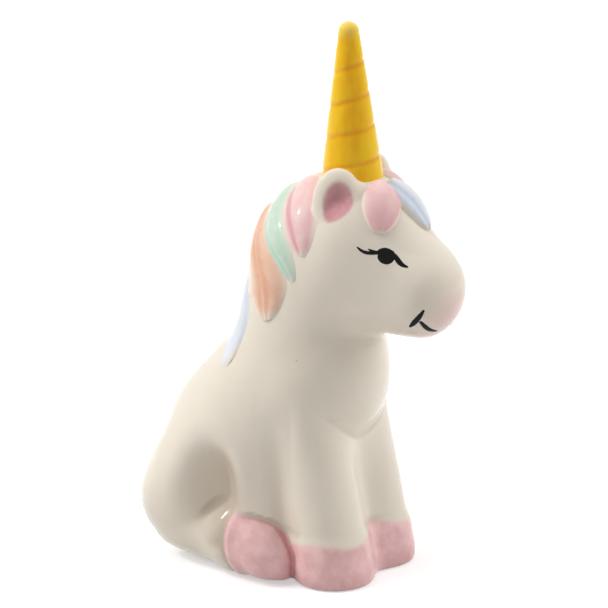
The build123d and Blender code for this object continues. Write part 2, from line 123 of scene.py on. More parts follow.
# Ear of the right side
EAR_FOOT = (-7.7, -8.61, 68.84)
EAR_TURN = 53.0
EAR_LEAN = 3.5
EAR_ROWS = ((0.0, 0.0, 0.0, 0.0), (0.68, 2.21, 1.25, 0.0), (4.08, 4.3, 2.43, 0.0),
            (8.16, 4.6, 2.6, 0.0), (11.56, 3.4, 1.92, 0.0), (13.19, 1.6, 0.9, 0.0),
            (13.6, 0.0, 0.0, 0.0))
EAR_BOWL_OFFSET = (1.9, -2.6)
EAR_BOWL_ROWS = ((0.0, 0.0, 0.0, 0.0), (0.5, 1.3, 0.82, 0.0), (2.94, 2.52, 1.59, 0.0),
                 (5.88, 2.7, 1.7, 0.0), (8.33, 2.0, 1.26, 0.0), (9.5, 0.94, 0.6, 0.0),
                 (9.8, 0.0, 0.0, 0.0))
EAR_BLEND = 1.4
EAR_BOWL_BLEND = 0.5

# Horn
HORN_FOOT = (0.0, -8.15, 74.0)
HORN_LEAN = 2.0
HORN_LENGTH = 35.3
HORN_BASE_RADIUS = 6.8
HORN_TIP_RADIUS = 2.0
HORN_PITCH = 6.15
HORN_PHASE = 0.26
# The turn of the horn towards the camera: its amber painted shade is deepest there and on the far side
HORN_SHADE_TURN = 212.0
# Its groove: the width is a share of a turn, and the pairs say where it runs out above the foot and below
# the tip
HORN_GROOVE_DEPTH = 0.2
HORN_GROOVE_WIDTH = 0.09
HORN_GROOVE_FOOT = (1.0, 4.0)
HORN_GROOVE_TOP = (1.5, 7.0)
HORN_GROOVE_SHADE = 0.7
HORN_PALE_TIP = 4.0
HORN_PALE_MOST = 0.7
HORN_RINGS = 170
HORN_TIP_RINGS = 22
HORN_DOME_ENDS = (0.04, math.pi / 2 - 0.03)
HORN_AROUND = 128

# Hair: locks are laid on the skin along turn and tilt angles about a point inside the head or the rump
HAIR_CENTRE = np.array((0.0, -2.0, 63.0))
TAIL_CENTRE = np.array((0.0, 11.0, 14.0))

# Grid that the skin is taken from: its cell, its corners and the depth of values kept to each side of the
# skin, then how often, and by how much at most, its points settle onto the form
CELL = 0.5
GRID_LOW = np.array((-24.0, -36.0, -3.0))
GRID_HIGH = np.array((24.0, 40.0, 87.0))
GRID_BAND = 4 * CELL
SETTLE_PASSES = 3
SETTLE_STEP = 0.6 * CELL
LEAST_SLOPE_SQUARE = 0.2
SLOPE_STEP = 0.05
# Samples along a loft and how far past its ends they run, and the halvings that close in on a ray's hit
LOFT_SAMPLES = 4000
LOFT_OVERRUN = 90.0
HALVINGS = 18
LEAST_WIDTH_SQUARE = 1e-4
TINY = 1e-6


def natural_spline(places, values, at):
    """Cubic curve through the values at the places, its slope and bend running on, straight past the ends.

    The second derivatives solve the usual three-diagonal system with none at the two ends."""
    places, values = np.asarray(places, float), np.asarray(values, float)
    step = np.diff(places)
    slope = np.diff(values) / step
    count = len(places)
    inner = np.arange(1, count - 1)
    system = np.eye(count)
    system[inner, inner - 1] = step[:-1]
    system[inner, inner] = 2 * (step[:-1] + step[1:])
    system[inner, inner + 1] = step[1:]
    wanted = np.zeros(count)
    wanted[1:-1] = 6 * np.diff(slope)
    bend = np.linalg.solve(system, wanted)
    held = np.clip(at, places[0], places[-1])
    i = np.clip(np.searchsorted(places, held, side="right") - 1, 0, count - 2)
    low, high = held - places[i], places[i + 1] - held
    curve = (bend[i] * high ** 3 + bend[i + 1] * low ** 3) / (6 * step[i])
    curve += (values[i] / step[i] - bend[i] * step[i] / 6) * high
    curve += (values[i + 1] / step[i] - bend[i + 1] * step[i] / 6) * low
    first = slope[0] - step[0] * bend[1] / 6
    last = slope[-1] + step[-1] * bend[-2] / 6
    return curve + np.minimum(at - places[0], 0) * first + np.maximum(at - places[-1], 0) * last


def lofted(origin, side, up, along, rows):
    """Signed distance to a skin lofted through ellipses, as a function of points.

    With half width a and half height b along the axis, k = b / a and M = a b. The skin is where
    k x^2 + y^2 / k = M, and the difference over the sum of both radii, each softened by half the slope
    of M, is the distance. It is exact for a ball. M runs below zero past a closed end."""
    origin, side, up, along = (np.asarray(part, float) for part in (origin, side, up, along))
    table = np.asarray(rows, float)
    places = np.linspace(table[0, 0] - LOFT_OVERRUN, table[-1, 0] + LOFT_OVERRUN, LOFT_SAMPLES)
    area = natural_spline(table[:, 0], table[:, 1] * table[:, 2], places)
    half_slope = np.gradient(area, places) / 2
    open_rows = table[table[:, 1] > 0]
    flatness = np.interp(places, open_rows[:, 0], open_rows[:, 2] / open_rows[:, 1])
    lift = natural_spline(table[:, 0], table[:, 3], np.clip(places, table[0, 0], table[-1, 0]))

    def distance(points):
        offset = points - origin
        s = offset @ along
        x = offset @ side
        y = offset @ up - np.interp(s, places, lift)
        k = np.interp(s, places, flatness)
        m = np.interp(s, places, area)
        soft = np.interp(s, places, half_slope) ** 2
        spread = k * x * x + y * y / k
        return (spread - m) / (np.sqrt(spread + soft) + np.sqrt(np.maximum(m, 0) + soft) + TINY)
    return distance


def ellipsoid(centre, radii, turn=0.0):
    """Signed distance, near enough, to an ellipsoid turned about Z: (|q| - 1) |q| / |q / r|, q = p / r."""
    centre, radii = np.asarray(centre, float), np.asarray(radii, float)
    angle = math.radians(turn)
    cosine, sine = math.cos(angle), math.sin(angle)
    axes = np.array(((cosine, sine, 0), (-sine, cosine, 0), (0, 0, 1)))

    def distance(points):
        q = ((points - centre) @ axes.T) / radii
        length = np.linalg.norm(q, axis=1)
        return (length - 1) * length / (np.linalg.norm(q / radii, axis=1) + TINY)
    return distance


def blend(a, b, radius):
    """Soft union: the lesser value, lowered by h^2 r / 4 where the two are within r of each other, with
    h = 1 - |a - b| / r."""
    h = np.maximum(radius - np.abs(a - b), 0) / radius
    return np.minimum(a, b) - h * h * radius / 4


def carve(a, b, radius):
    """Soft cut of b out of a."""
    return -blend(-a, b, radius)


def smooth_step(low, high, values):
    """0 below low, 1 above high, 3 t^2 - 2 t^3 between."""
    t = np.clip((values - low) / (high - low), 0, 1)
    return t * t * (3 - 2 * t)


def turned(vector, axis, degrees):
    """A vector turned about one of the frame's axes."""
    return np.array(Matrix.Rotation(math.radians(degrees), 3, axis) @ Vector(vector))


X, Y, Z = np.eye(3)
nose = turned(-Y, "X", HEAD_PITCH)
trunk = lofted((0, 0, 0), X, Y, Z, TRUNK_ROWS)
head = lofted(HEAD_NAPE, X, np.cross(nose, X), nose, HEAD_ROWS)
chest = ellipsoid(CHEST_CENTRE, CHEST_RADII)
fore_leg = lofted((FORE_LEG_X, 0, 0), X, Y, Z, FORE_LEG_ROWS)
fore_hoof = lofted((FORE_LEG_X, 0, 0), X, Y, Z, FORE_HOOF_ROWS)
thigh_up = turned(Z, "X", HAUNCH_LEAN)
haunch = lofted(HAUNCH_FOOT, X, np.cross(thigh_up, X), thigh_up, HAUNCH_ROWS)
hollow = ellipsoid(HOLLOW_CENTRE, HOLLOW_RADII, HOLLOW_TURN)
valley = ellipsoid(VALLEY_CENTRE, VALLEY_RADII)
toe = turned(-Y, "Z", -HIND_TOE_OUT)
hind_foot = lofted((*HIND_MEET, HIND_FOOT_AXIS), np.cross(toe, Z), Z, -toe, HIND_FOOT_ROWS)
hind_hoof = lofted((*HIND_MEET, HIND_HOOF_AXIS), np.cross(Z, toe), Z, toe, HIND_HOOF_ROWS)
ear_up = turned(Z, "X", EAR_LEAN)
ear_side = np.cross(ear_up, turned(-Y, "Z", -EAR_TURN))
ear_side = ear_side / np.linalg.norm(ear_side)
ear_back = np.cross(ear_up, ear_side)
ear = lofted(EAR_FOOT, ear_side, ear_back, ear_up, EAR_ROWS)
bowl_foot = np.asarray(EAR_FOOT) + EAR_BOWL_OFFSET[0] * ear_up + EAR_BOWL_OFFSET[1] * ear_back
ear_bowl = lofted(bowl_foot, ear_side, ear_back, ear_up, EAR_BOWL_ROWS)
drain_chamber = ellipsoid((0, DRAIN_CENTRE_Y, DRAIN_CHAMBER_RISE), DRAIN_CHAMBER_RADII)


def folded(points, fold=MIDDLE_FOLD):
    """The points brought to the right side, x = -sqrt(x^2 + f^2), so that paired forms meet softly."""
    right = points.copy()
    right[:, 0] = -np.sqrt(points[:, 0] ** 2 + fold ** 2)
    return right


def bare_form(points):
    """Signed distance to the trunk, neck and head alone, which the hair and the face are laid on."""
    return blend(trunk(points), head(points), TRUNK_HEAD_BLEND)


def rump_form(points):
    """Signed distance to the trunk with its haunches and the hollows ahead of them, which the tail is laid
    on. A hollow's edge is crisp at the front and eases off towards the back."""
    right = folded(points)
    edge_y, edge_z = HOLLOW_EDGE
    past_edge = smooth_step(*HOLLOW_EASE, right[:, 1] - edge_y + HOLLOW_EDGE_SLANT * (right[:, 2] - edge_z))
    softness = HOLLOW_EDGE_BLEND + (HOLLOW_BACK_BLEND - HOLLOW_EDGE_BLEND) * past_edge
    return carve(blend(trunk(points), haunch(right), HAUNCH_BLEND), hollow(right), softness)


def leg_form(points):
    """Signed distance to the forelegs on their flared hooves, which run together between the two."""
    right = folded(points, LEG_FOLD)
    return blend(fore_leg(right), fore_hoof(right), HOOF_BLEND)


def figure(points):
    """Signed distance to the whole glazed skin: every form run softly into the next, hollows carved,
    the underside cut level with a rounded rim, and the drain hole opened."""
    right = folded(points)
    skin = blend(rump_form(points), head(points), TRUNK_HEAD_BLEND)
    skin = carve(skin, valley(right), VALLEY_BLEND)
    skin = blend(skin, leg_form(points), LEG_BLEND)
    chest_blend = np.interp(points[:, 2], CHEST_BLEND_HEIGHTS, CHEST_BLEND)
    skin = blend(skin, chest(points), chest_blend)
    skin = blend(skin, hind_foot(right), HIND_FOOT_BLEND)
    skin = blend(skin, hind_hoof(right), HIND_HOOF_BLEND)
    skin = blend(skin, carve(ear(right), ear_bowl(right), EAR_BOWL_BLEND), EAR_BLEND)
    skin = carve(skin, points[:, 2], FOOT_RIM_ROUND)
    drain = np.hypot(points[:, 0], points[:, 1] - DRAIN_CENTRE_Y) - DRAIN_RADIUS
    drain = np.maximum(drain, points[:, 2] - DRAIN_CHAMBER_RISE)
    return carve(skin, blend(drain, drain_chamber(points), DRAIN_BLEND), DRAIN_BLEND)


def slopes(form, points):
    """Central differences of a form along X, Y and Z."""
    rises = [form(points + SLOPE_STEP * way) - form(points - SLOPE_STEP * way) for way in (X, Y, Z)]
    return np.stack(rises, 1) / (2 * SLOPE_STEP)


def skin_mesh():
    """Points and quads of the glazed skin: the zero level of the figure on a grid, then each point moved
    by value / slope along the slope until it lies on the form itself."""
    counts = np.round((GRID_HIGH - GRID_LOW) / CELL).astype(int) + 1
    xs, ys, zs = (GRID_LOW[i] + CELL * np.arange(counts[i]) for i in range(3))
    values = np.empty(counts, np.float32)
    level = np.stack(np.meshgrid(xs, ys, indexing="ij"), -1).reshape(-1, 2)
    for index, z in enumerate(zs):
        layer = figure(np.column_stack((level, np.full(len(level), z))))
        values[:, :, index] = layer.reshape(counts[:2])
    grid = openvdb.FloatGrid(GRID_BAND)
    grid.copyFromArray(np.clip(values, -GRID_BAND, GRID_BAND))
    points, quads = grid.convertToQuads(isovalue=0.0)
    points = GRID_LOW + CELL * points.astype(float)
    for _ in range(SETTLE_PASSES):
        slope = slopes(figure, points)
        size = np.maximum((slope ** 2).sum(1), LEAST_SLOPE_SQUARE)
        move = (figure(points) / size)[:, None] * slope
        points = points - np.clip(move, -SETTLE_STEP, SETTLE_STEP)
    return points, quads


def put_mesh(name, points, polygons, normals=None, **marks):
    """A smooth-shaded mesh object from point and index arrays, with one number per point for each mark."""
    mesh = bpy.data.meshes.new(name)
    corners = np.concatenate([part.ravel() for part in polygons]).astype(np.int32)
    sizes = np.concatenate([np.full(len(part), part.shape[1]) for part in polygons])
    mesh.vertices.add(len(points))
    mesh.vertices.foreach_set("co", (points * MM + ORIGIN).astype(np.float32).ravel())
    mesh.loops.add(len(corners))
    mesh.loops.foreach_set("vertex_index", corners)
    mesh.polygons.add(len(sizes))
    mesh.polygons.foreach_set("loop_start", np.concatenate(([0], np.cumsum(sizes)[:-1])).astype(np.int32))
    mesh.update(calc_edges=True)
    mesh.validate()
    mesh.shade_smooth()
    if normals is not None:
        mesh.normals_split_custom_set_from_vertices(normals)
    for mark, numbers in marks.items():
        layer = mesh.attributes.new(mark, "FLOAT", "POINT")
        layer.data.foreach_set("value", np.asarray(numbers, np.float32))
    piece = bpy.data.objects.new(name, mesh)
    bpy.context.scene.collection.objects.link(piece)
    return piece


def put_piece(name, points, polygons, material, slot, nodes, normals=None, **marks):
    """A finished piece: its mesh, its glaze, and the solids that it stands for."""
    piece = put_mesh(name, points, polygons, normals, **marks)
    piece.data.materials.append(material)
    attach(piece, "root")
    if nodes:
        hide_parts(*nodes)
    return piece


def tube_faces(rings, around):
    """Quads of a closed tube of rings of points, with a fan to one point at each end."""
    ring, step = np.meshgrid(np.arange(rings - 1), np.arange(around), indexing="ij")
    here, there = ring * around + step, ring * around + (step + 1) % around
    quads = np.stack((here, there, there + around, here + around), -1).reshape(-1, 4)
    edge = np.arange(around)
    after = (edge + 1) % around
    top = (rings - 1) * around
    start = np.column_stack((np.full(around, rings * around), after, edge))
    end = np.column_stack((np.full(around, rings * around + 1), top + edge, top + after))
    return [quads, np.concatenate((start, end))]


def mirrored(points, polygons):
    """The same surface on the other side, its faces turned to point outwards again."""
    return points * np.array((-1, 1, 1)), [part[:, ::-1] for part in polygons]


def outward_hits(form, centre, ways, furthest, samples=90):
    """Distances at which rays from inside a form first leave it: sign change on a ladder, then halving."""
    ladder = np.linspace(furthest / samples, furthest, samples)
    spots = centre + ways[:, None, :] * ladder[None, :, None]
    outside = form(spots.reshape(-1, 3)).reshape(len(ways), samples) > 0
    first = np.where(outside.any(1), outside.argmax(1), samples - 1)
    high = ladder[first]
    low = high - ladder[0]
    for _ in range(HALVINGS):
        middle = (low + high) / 2
        out = form(centre + ways * middle[:, None]) > 0
        high, low = np.where(out, middle, high), np.where(out, low, middle)
    return high


def ways_from(turn, tilt):
    """Unit vectors from a turn about Z, counted from the back, and a tilt above the level."""
    turn, tilt = np.radians(turn), np.radians(tilt)
    return np.stack((-np.sin(turn) * np.cos(tilt), np.cos(turn) * np.cos(tilt), np.sin(tilt)), -1)


def unit(vectors):
    """Vectors brought to length 1."""
    return vectors / np.linalg.norm(vectors, axis=-1, keepdims=True)


def laid_strip(form, centre, knots, half_widths, along, across, furthest=62.0):
    """A grid of skin points: a route through ways out from a centre, spread sideways by a width.

    The way out runs on cubic splines along the route, and the square of the half width too, so that a
    strip ends round. At each place the way out is swung about the route's heading by width / reach, and
    the ray is cut with the skin."""
    places = np.linspace(0, 1, len(knots))
    way = unit(np.stack([natural_spline(places, knots[:, i], along) for i in range(3)], -1))
    reach = outward_hits(form, centre, way, furthest)
    spine = centre + way * reach[:, None]
    heading = unit(np.gradient(spine, along, axis=0))
    side = unit(np.cross(way, heading))
    square = natural_spline(places, np.square(half_widths), along)
    width = np.sqrt(np.maximum(square, LEAST_WIDTH_SQUARE))
    swing = (width / reach)[:, None] * across[None, :]
    fan = np.cos(swing)[..., None] * way[:, None, :] + np.sin(swing)[..., None] * side[:, None, :]
    flat = fan.reshape(-1, 3)
    spots = centre + flat * outward_hits(form, centre, flat, furthest)[:, None]
    shape = (len(along), len(across), 3)
    return spots.reshape(shape), unit(slopes(form, spots)).reshape(shape), width


def raised_tube(spots, normals, face, depth):
    """A closed tube from a grid on the skin: the face raised by a height, the back sunk by a depth."""
    top = spots + normals * face[..., None]
    back = (spots - normals * depth[..., None])[:, -2:0:-2]
    rings = np.concatenate((top, back), 1)
    ends = np.stack((rings[0].mean(0), rings[-1].mean(0)))
    points = np.concatenate((rings.reshape(-1, 3), ends))
    return points, tube_faces(rings.shape[0], rings.shape[1]), back.shape[1]


def tube_marks(values, back_columns):
    """One number per point of a raised tube: the face's own, and its edge value carried along the back."""
    back = np.repeat(values[:, :1], back_columns, 1)
    rings = np.concatenate((values, back), 1)
    return np.concatenate((rings.ravel(), (rings[0].mean(), rings[-1].mean())))


# Camera: the photograph's view, with the pixel at which the ground point between the fore hooves lies
IMAGE_SIZE = 608
CAMERA_AZIMUTH = -58.0
CAMERA_ELEVATION = 15.0
CAMERA_DISTANCE = 700.0
PIXELS_PER_MM = 5.06
AIM_POINT = np.array((0.0, -8.5, 0.0))
AIM_PIXEL = (353.5, 567.5)
SENSOR = 36.0
CLIP_END = 20.0
# How far before and past the camera's distance a line of sight is searched
SIGHT_MARGIN = 100.0

azimuth, elevation = math.radians(CAMERA_AZIMUTH), math.radians(CAMERA_ELEVATION)
view_back = np.array((math.sin(azimuth) * math.cos(elevation), -math.cos(azimuth) * math.cos(elevation),
                      math.sin(elevation)))
view_right = unit(np.cross(Z, view_back))
view_up = np.cross(view_back, view_right)
middle_pixel = IMAGE_SIZE / 2
camera_spot = (AIM_POINT + view_back * CAMERA_DISTANCE
               + view_right * (middle_pixel - AIM_PIXEL[0]) / PIXELS_PER_MM
               + view_up * (AIM_PIXEL[1] - middle_pixel) / PIXELS_PER_MM)


def seen_at(form, pixels):
    """Where the lines of sight through pixels of the photograph first meet a form."""
    pixels = np.asarray(pixels, float)
    ways = unit(-view_back * PIXELS_PER_MM * CAMERA_DISTANCE
                + (pixels[:, :1] - middle_pixel) * view_right
                + (middle_pixel - pixels[:, 1:]) * view_up)
    start = camera_spot + ways * (CAMERA_DISTANCE - SIGHT_MARGIN)
    return start + ways * first_inside(form, start, ways, 2 * SIGHT_MARGIN)[:, None]


def first_inside(form, starts, ways, furthest, samples=400):
    """Distances at which rays from outside first enter a form."""
    ladder = np.linspace(0, furthest, samples)
    spots = starts[:, None, :] + ways[:, None, :] * ladder[None, :, None]
    inside = form(spots.reshape(-1, 3)).reshape(len(ways), samples) < 0
    high = ladder[inside.argmax(1)]
    low = high - ladder[1]
    for _ in range(HALVINGS):
        middle = (low + high) / 2
        within = form(starts + ways * middle[:, None]) < 0
        high, low = np.where(within, middle, high), np.where(within, low, middle)
    return high


# Colours, linear
GLAZE_WHITE = (0.84, 0.765, 0.65)
GLAZE_WARM = (0.78, 0.69, 0.56)
GLAZE_SPECK = (0.36, 0.27, 0.20)
# Brown of pooled glaze and of painted shade in creases and in the hollows ahead of the haunches
GLAZE_POOL_SHADE = (0.56, 0.46, 0.36)
MUZZLE_BLUSH = (0.74, 0.44, 0.44)
EAR_PINKS = ((0.76, 0.40, 0.42), (0.64, 0.29, 0.32))
BARE_CLAY = (0.62, 0.55, 0.46)
HORN_YELLOW = (0.94, 0.63, 0.015)
HORN_AMBER_SHADE = (0.90, 0.40, 0.002)
HORN_ORANGE_SHADE = (0.82, 0.30, 0.002)
HORN_PALE = (0.92, 0.74, 0.18)
LINE_BLACKS = ((0.003, 0.003, 0.004), (0.014, 0.012, 0.011))
FLOOR_GREY = (0.72, 0.72, 0.72)
# Thin and deep paint of each colour; the deep one is also the painted shade in the creases
PAINTS = {
    "lock_pink": ((0.91, 0.68, 0.65), (0.75, 0.38, 0.40)),
    "lock_mint": ((0.74, 0.79, 0.67), (0.42, 0.66, 0.53)),
    "lock_peach": ((0.93, 0.71, 0.56), (0.78, 0.42, 0.27)),
    "lock_lilac": ((0.79, 0.81, 0.86), (0.54, 0.62, 0.75)),
    "hoof_pink": ((0.92, 0.60, 0.59), (0.64, 0.29, 0.30)),
}
# Gloss: how much clear coat each finish has, the coat's roughness and index, the paint's own sheen, and the
# depth in metres of the uneven surface
GLAZE_COAT = 0.32
HORN_COAT = 0.2
LINE_COAT = 0.08
COAT_ROUGHNESS = 0.06
COAT_INDEX = 1.5
PAINT_SHEEN = 0.1
UNEVEN_DEPTH = 0.00005
GLAZE_ROUGHNESS = 0.22
BARE_ROUGHNESS = 0.8
PAINT_ROUGHNESS = 0.2
HORN_ROUGHNESS = 0.18
LINE_ROUGHNESS = 0.25


class Nodes:
    """Shorthand for building one material's nodes."""

    def __init__(self, name):
        self.material = bpy.data.materials.new(name)
        self.material.use_nodes = True
        self.tree = self.material.node_tree
        self.shader = self.tree.nodes["Principled BSDF"]
        self.coordinates = self.add("ShaderNodeTexCoord").outputs["Object"]

    def add(self, kind, **settings):
        node = self.tree.nodes.new(kind)
        for key, value in settings.items():
            setattr(node, key, value)
        return node

    def feed(self, socket, value):
        """A link where the value is a socket, a constant otherwise; a colour gets its alpha."""
        if isinstance(value, bpy.types.NodeSocket):
            self.tree.links.new(value, socket)
        elif isinstance(value, tuple):
            socket.default_value = (*value, 1.0)
        else:
            socket.default_value = value

    def noise(self, scale, detail=3.0, roughness=0.55, stretch=1.0):
        """Cloudy noise, drawn out along Z by a stretch."""
        node = self.add("ShaderNodeTexNoise")
        place = self.add("ShaderNodeMapping")
        place.inputs["Scale"].default_value = (1.0, 1.0, 1.0 / stretch)
        self.feed(place.inputs["Vector"], self.coordinates)
        self.feed(node.inputs["Vector"], place.outputs["Vector"])
        self.feed(node.inputs["Scale"], scale)
        self.feed(node.inputs["Detail"], detail)
        self.feed(node.inputs["Roughness"], roughness)
        return node.outputs["Fac"]

    def mark(self, name):
        """The piece's own number per point."""
        return self.add("ShaderNodeAttribute", attribute_name=name).outputs["Fac"]

    def ramp(self, value, low, high, start=0.0, end=1.0):
        """The value carried from low..high to start..end and held there, eased."""
        node = self.add("ShaderNodeMapRange", interpolation_type="SMOOTHSTEP")
        for key, number in (("From Min", low), ("From Max", high), ("To Min", start), ("To Max", end)):
            self.feed(node.inputs[key], number)
        self.feed(node.inputs["Value"], value)
        return node.outputs["Result"]

    def combine(self, a, b, operation="MULTIPLY"):
        """Two numbers multiplied, or put together by another operation."""
        node = self.add("ShaderNodeMath", operation=operation)
        self.feed(node.inputs[0], a)
        self.feed(node.inputs[1], b)
        return node.outputs["Value"]

    def mix(self, share, a, b):
        """Colour a with b over it by a share."""
        node = self.add("ShaderNodeMix", data_type="RGBA")
        self.feed(node.inputs["Factor"], share)
        self.feed(node.inputs[6], a)
        self.feed(node.inputs[7], b)
        return node.outputs[2]

    def gloss(self, colour, roughness, coat, uneven=None, strength=0.0):
        """The glazed finish: the painted colour under a clear gloss coat, faintly uneven."""
        finish = {"Base Color": colour, "Roughness": roughness, "Specular IOR Level": PAINT_SHEEN,
                  "Coat Weight": coat, "Coat Roughness": COAT_ROUGHNESS, "Coat IOR": COAT_INDEX}
        if uneven is not None:
            bump = self.add("ShaderNodeBump")
            self.feed(bump.inputs["Height"], uneven)
            self.feed(bump.inputs["Strength"], strength)
            self.feed(bump.inputs["Distance"], UNEVEN_DEPTH)
            finish.update({"Normal": bump.outputs["Normal"], "Coat Normal": bump.outputs["Normal"]})
        for socket, value in finish.items():
            self.feed(self.shader.inputs[socket], value)
        return self.material


def glaze_colour(nodes):
    """Off-white glaze: cloudy and warmer from patch to patch, with sparse iron specks."""
    cloud = nodes.ramp(nodes.noise(70.0), 0.35, 0.75, 0.0, 0.35)
    colour = nodes.mix(cloud, GLAZE_WHITE, GLAZE_WARM)
    speck = nodes.add("ShaderNodeTexVoronoi")
    nodes.feed(speck.inputs["Vector"], nodes.coordinates)
    nodes.feed(speck.inputs["Scale"], 190.0)
    dot = nodes.ramp(speck.outputs["Distance"], 0.02, 0.04, 1.0, 0.0)
    rare = nodes.ramp(nodes.noise(120.0, 1.0), 0.55, 0.62)
    return nodes.mix(nodes.combine(nodes.combine(dot, rare), 0.45), colour, GLAZE_SPECK)


def skin_glaze(name):
    """The skin's glaze with pooled glaze and painted shade in its creases and in the hollows ahead of the
    haunches, its airbrushed muzzle, painted ear bowls, brushed hooves with painted shade in their creases
    and towards the ground, and bare foot.
    """
    nodes = Nodes(name)
    colour = glaze_colour(nodes)
    # Pooled glaze and painted shade: browner where the skin bends inwards and in the hollows ahead of the
    # haunches
    colour = nodes.mix(nodes.combine(nodes.mark("pool_and_shade"), 0.85), colour, GLAZE_POOL_SHADE)
    mottle = nodes.ramp(nodes.noise(260.0), 0.3, 0.7, 0.75, 1.0)
    colour = nodes.mix(nodes.combine(nodes.mark("blush"), mottle), colour, MUZZLE_BLUSH)
    inner = nodes.mix(nodes.ramp(nodes.noise(300.0), 0.3, 0.7), *EAR_PINKS)
    colour = nodes.mix(nodes.mark("inner_ear"), colour, inner)
    streak = nodes.ramp(nodes.noise(300.0, 4.0, 0.6), 0.3, 0.75, 0.0, 0.45)
    # Painted shade on the hooves, darker in their creases and towards the ground, plus the paint's own
    # streaks
    shade = nodes.combine(nodes.mark("hoof_deep"), streak, "ADD")
    colour = nodes.mix(nodes.mark("hoof"), colour, nodes.mix(shade, *PAINTS["hoof_pink"]))
    colour = nodes.mix(nodes.mark("bare"), colour, BARE_CLAY)
    roughness = nodes.ramp(nodes.mark("bare"), 0.0, 1.0, GLAZE_ROUGHNESS, BARE_ROUGHNESS)
    return nodes.gloss(colour, roughness, GLAZE_COAT, nodes.noise(500.0, 2.0), 0.12)


def painted_glaze(slot):
    """Pastel underglaze under the same gloss: thin on the crowns, darker in the creases as painted shade,
    streaky, and faded into the white along its brushed edge."""
    thin, deep = PAINTS[slot]
    nodes = Nodes(slot)
    streak = nodes.ramp(nodes.noise(330.0, 4.0, 0.6), 0.3, 0.75, 0.0, 0.3)
    shade = nodes.combine(nodes.mark("deep"), streak, "ADD")
    colour = nodes.mix(shade, thin, deep)
    colour = nodes.mix(nodes.mark("fade"), colour, glaze_colour(nodes))
    return nodes.gloss(colour, PAINT_ROUGHNESS, GLAZE_COAT, nodes.noise(500.0, 2.0), 0.12)


def horn_glaze():
    """Amber yellow, streaked, with painted shade: amber deepest on the sides towards and away from the
    camera, orange along the spiral groove, and thin and pale at the tip.
    """
    nodes = Nodes("horn_yellow")
    streak = nodes.ramp(nodes.noise(260.0, 4.0, 0.6, 3.0), 0.3, 0.65, 0.3, 1.0)
    colour = nodes.mix(nodes.combine(nodes.mark("amber"), streak), HORN_YELLOW, HORN_AMBER_SHADE)
    line = nodes.combine(nodes.mark("deep"), nodes.ramp(nodes.noise(150.0, 2.0), 0.3, 0.6, 0.3, 1.0))
    # Orange painted shade along the spiral groove, streaky
    colour = nodes.mix(line, colour, HORN_ORANGE_SHADE)
    colour = nodes.mix(nodes.mark("pale"), colour, HORN_PALE)
    return nodes.gloss(colour, HORN_ROUGHNESS, HORN_COAT, nodes.noise(420.0, 3.0), 0.15)


def line_paint():
    """Brushed black line work under the glaze, a little thin in places."""
    nodes = Nodes("line_black")
    thin = nodes.ramp(nodes.noise(900.0), 0.45, 0.8, 0.0, 0.5)
    return nodes.gloss(nodes.mix(thin, *LINE_BLACKS), LINE_ROUGHNESS, LINE_COAT)


# Glazed skin, parted where one form takes over from the next
MUZZLE_CENTRE = np.array((0.0, -31.5, 53.8))
MUZZLE_RADII = np.array((9.0, 7.0, 8.0))
LIP_CENTRE = np.array((0.0, -25.0, 51.5))
LIP_RADII = np.array((8.0, 7.0, 3.0))
NECK_SEAM_HEIGHT = 46.0
FORE_HOOF_TOP = 9.2
FORE_HOOF_CENTRE_Y = -8.2
FORE_HOOF_WAVE = 0.45
FORE_HOOF_WAVES = 3
FORE_HOOF_WAVE_PHASE = 0.6
FORE_HOOF_JOIN = 1.5
FORE_HOOF_JOIN_WIDTH = 3.0
SHELL_WALL = 0.5
SKIN_PARTS = ("body", "head", "ear", "foreleg", "fore_hoof", "haunch", "hind_foot", "hind_hoof")
SINGLE_PARTS = ("body", "head")
# Paint and painted shade on the skin: the step that bends are taken over, how strong some paints are, and
# in pairs where each one starts and where it is full, by inward bend, by distance from a form or by height
BEND_STEP = 0.8
# Pooled glaze with painted shade where the skin bends inwards, and painted shade in the hollows ahead of
# the haunches
POOL_SHADE_BEND = (0.02, 0.45)
HOLLOW_SHADE = (2.6, -0.2)
HOLLOW_SHADE_BACK = (19.0, 10.0)
MUZZLE_FADE = (1.25, 0.1)
LIP_FADE = (1.2, 0.2)
BLUSH_MOST = 0.7
EAR_PAINT_EDGE = (0.35, -0.15)
FORE_PAINT_EDGE = (-0.2, 1.3)
FORE_PAINT_SIDE = (-0.5, 0.5)
HIND_PAINT_EDGE = (-0.15, 0.55)
HIND_PAINT_REACH = (1.2, 0.3)
# Painted shade on the hooves: darker where they crease and towards the ground
HOOF_BEND = (0.02, 0.5)
HOOF_BEND_SHADE = 0.7
HOOF_FOOT = (4.5, 0.5)
HOOF_FOOT_SHADE = 0.2
BARE_EDGE = (0.12, 0.02)


